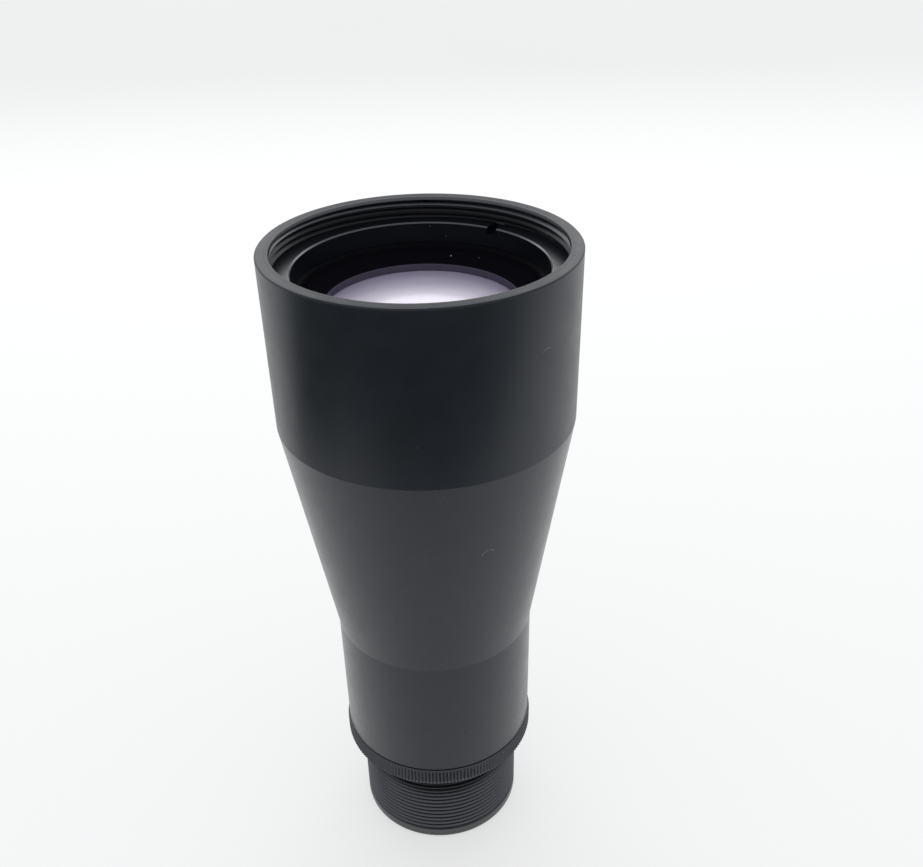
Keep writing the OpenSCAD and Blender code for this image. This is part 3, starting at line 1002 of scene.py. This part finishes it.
class EXPANDER_OT_finishes(bpy.types.Operator):
    """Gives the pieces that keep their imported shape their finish"""

    bl_idname = "expander.finishes"
    bl_label = "Finishes"

    def execute(self, context):
        size = context.scene.expander_rings
        finishes = {
            "black_anodised": ring_material(size.bore_r, size.bevel, top_of("front_retaining_ring")),
            "inner_black": inner_material(),
            "coated_glass": bpy.data.materials["Coated crown glass"],
        }
        slots = {s["node"]: s["material_slot"] for s in frame["record"]["subparts"]}
        for name, obj in frame["nodes"].items():
            for slot in obj.material_slots:
                slot.material = finishes[slots[name]]
        lens_ring = frame["nodes"]["objective_lens_ring"]
        lens_ring.material_slots[0].material = lens_ring_material(size.wall_r)
        return {"FINISHED"}


class EXPANDER_OT_stage(bpy.types.Operator):
    """Sets the floor, the light and the camera"""

    bl_idname = "expander.stage"
    bl_label = "Stage"

    def execute(self, context):
        stage = context.scene.expander_stage
        self.floor(stage)
        self.room(context, stage)
        self.softbox(stage)
        self.camera(context, stage)
        context.scene.view_settings.view_transform = "Standard"
        return {"FINISHED"}

    def floor(self, stage):
        """A white card under the part, and a dark mat that begins out of the picture."""
        front, left, corner = -stage.card, -stage.card_side, stage.card_corner
        side, rear = stage.reach, stage.depth
        card = [(left, front), (side, front), (side, rear), (-side, rear), (-side, corner), (left, corner)]
        mat = [(-side, -side), (side, -side), (side, corner), (-side, corner)]
        sheet("Card", card, 0.0, floor_material())
        sheet("Table", mat, -MM, table_material())

    def room(self, context, stage):
        """Even pale light from all round."""
        world = bpy.data.worlds.new("Pale room")
        world.use_nodes = True
        tree = world.node_tree
        feed(tree, tree.nodes["Background"], {
            "Color": context.scene.expander_colours.room, "Strength": stage.world,
        })
        context.scene.world = world

    def softbox(self, stage):
        """One wide softbox above and behind the part."""
        light = bpy.data.lights.new("Softbox", "AREA")
        light.shape = "RECTANGLE"
        light.size, light.size_y = stage.lamp_wide, stage.lamp_deep
        light.energy = stage.lamp
        lamp = link(bpy.data.objects.new("Softbox", light))
        aim = Vector((0.0, 0.0, stage.lamp_aim))
        lamp.location = aim + Vector((0.0, stage.lamp_back, stage.lamp_up))
        lamp.rotation_euler = (aim - lamp.location).to_track_quat("-Z", "Y").to_euler()
        lamp.visible_camera = False

    def camera(self, context, stage):
        """The camera at the photograph's place and angle."""
        level = math.cos(stage.pitch)
        forward = Vector((math.sin(stage.yaw) * level, math.cos(stage.yaw) * level, -math.sin(stage.pitch)))
        right = Vector((math.cos(stage.yaw), -math.sin(stage.yaw), 0.0))
        upward = right.cross(forward)
        across = right * math.cos(stage.roll) + upward * math.sin(stage.roll)
        upward = upward * math.cos(stage.roll) - right * math.sin(stage.roll)
        data = bpy.data.cameras.new("Camera")
        data.sensor_width = 36.0
        data.lens = stage.lens
        data.shift_x, data.shift_y = stage.aside, stage.shift
        data.clip_start = 5 * MM
        camera = link(bpy.data.objects.new("Camera", data))
        facing = Matrix((across, upward, -forward)).transposed().to_4x4()
        camera.matrix_world = Matrix.Translation((0.0, -stage.back, stage.up)) @ facing
        context.scene.camera = camera


GROUPS = (
    ExpanderBarrel, ExpanderThreads, ExpanderTube, ExpanderRings, ExpanderGlass, ExpanderLint,
    ExpanderColours, ExpanderStage,
)
OPERATORS = (
    EXPANDER_OT_barrel, EXPANDER_OT_front_thread, EXPANDER_OT_lock_ring, EXPANDER_OT_input_tube,
    EXPANDER_OT_front_lens, EXPANDER_OT_lint, EXPANDER_OT_finishes, EXPANDER_OT_stage,
)


class EXPANDER_PT_panel(bpy.types.Panel):
    """Lists the pieces of the expander"""

    bl_idname = "EXPANDER_PT_panel"
    bl_label = "Laser beam expander"
    bl_space_type = "VIEW_3D"
    bl_region_type = "UI"
    bl_category = "Expander"

    def draw(self, context):
        for operator in OPERATORS:
            self.layout.operator(operator.bl_idname)
        for group in GROUPS:
            box = self.layout.box()
            settings = getattr(context.scene, setting_name(group))
            for name in group.__annotations__:
                box.prop(settings, name)


def setting_name(group):
    """The scene's property that holds a group, such as expander_barrel."""
    return "expander_" + group.__name__.removeprefix("Expander").lower()


def register():
    for kind in (*GROUPS, *OPERATORS, EXPANDER_PT_panel):
        bpy.utils.register_class(kind)
    for group in GROUPS:
        setattr(bpy.types.Scene, setting_name(group), PointerProperty(type=group))


def unregister():
    for group in GROUPS:
        delattr(bpy.types.Scene, setting_name(group))
    for kind in reversed((*GROUPS, *OPERATORS, EXPANDER_PT_panel)):
        bpy.utils.unregister_class(kind)


def main():
    register()
    bpy.ops.expander.barrel()
    bpy.ops.expander.front_thread()
    bpy.ops.expander.lock_ring()
    bpy.ops.expander.input_tube()
    bpy.ops.expander.front_lens()
    bpy.ops.expander.lint()
    bpy.ops.expander.finishes()
    bpy.ops.expander.stage()


if __name__ == "__main__":
    main()
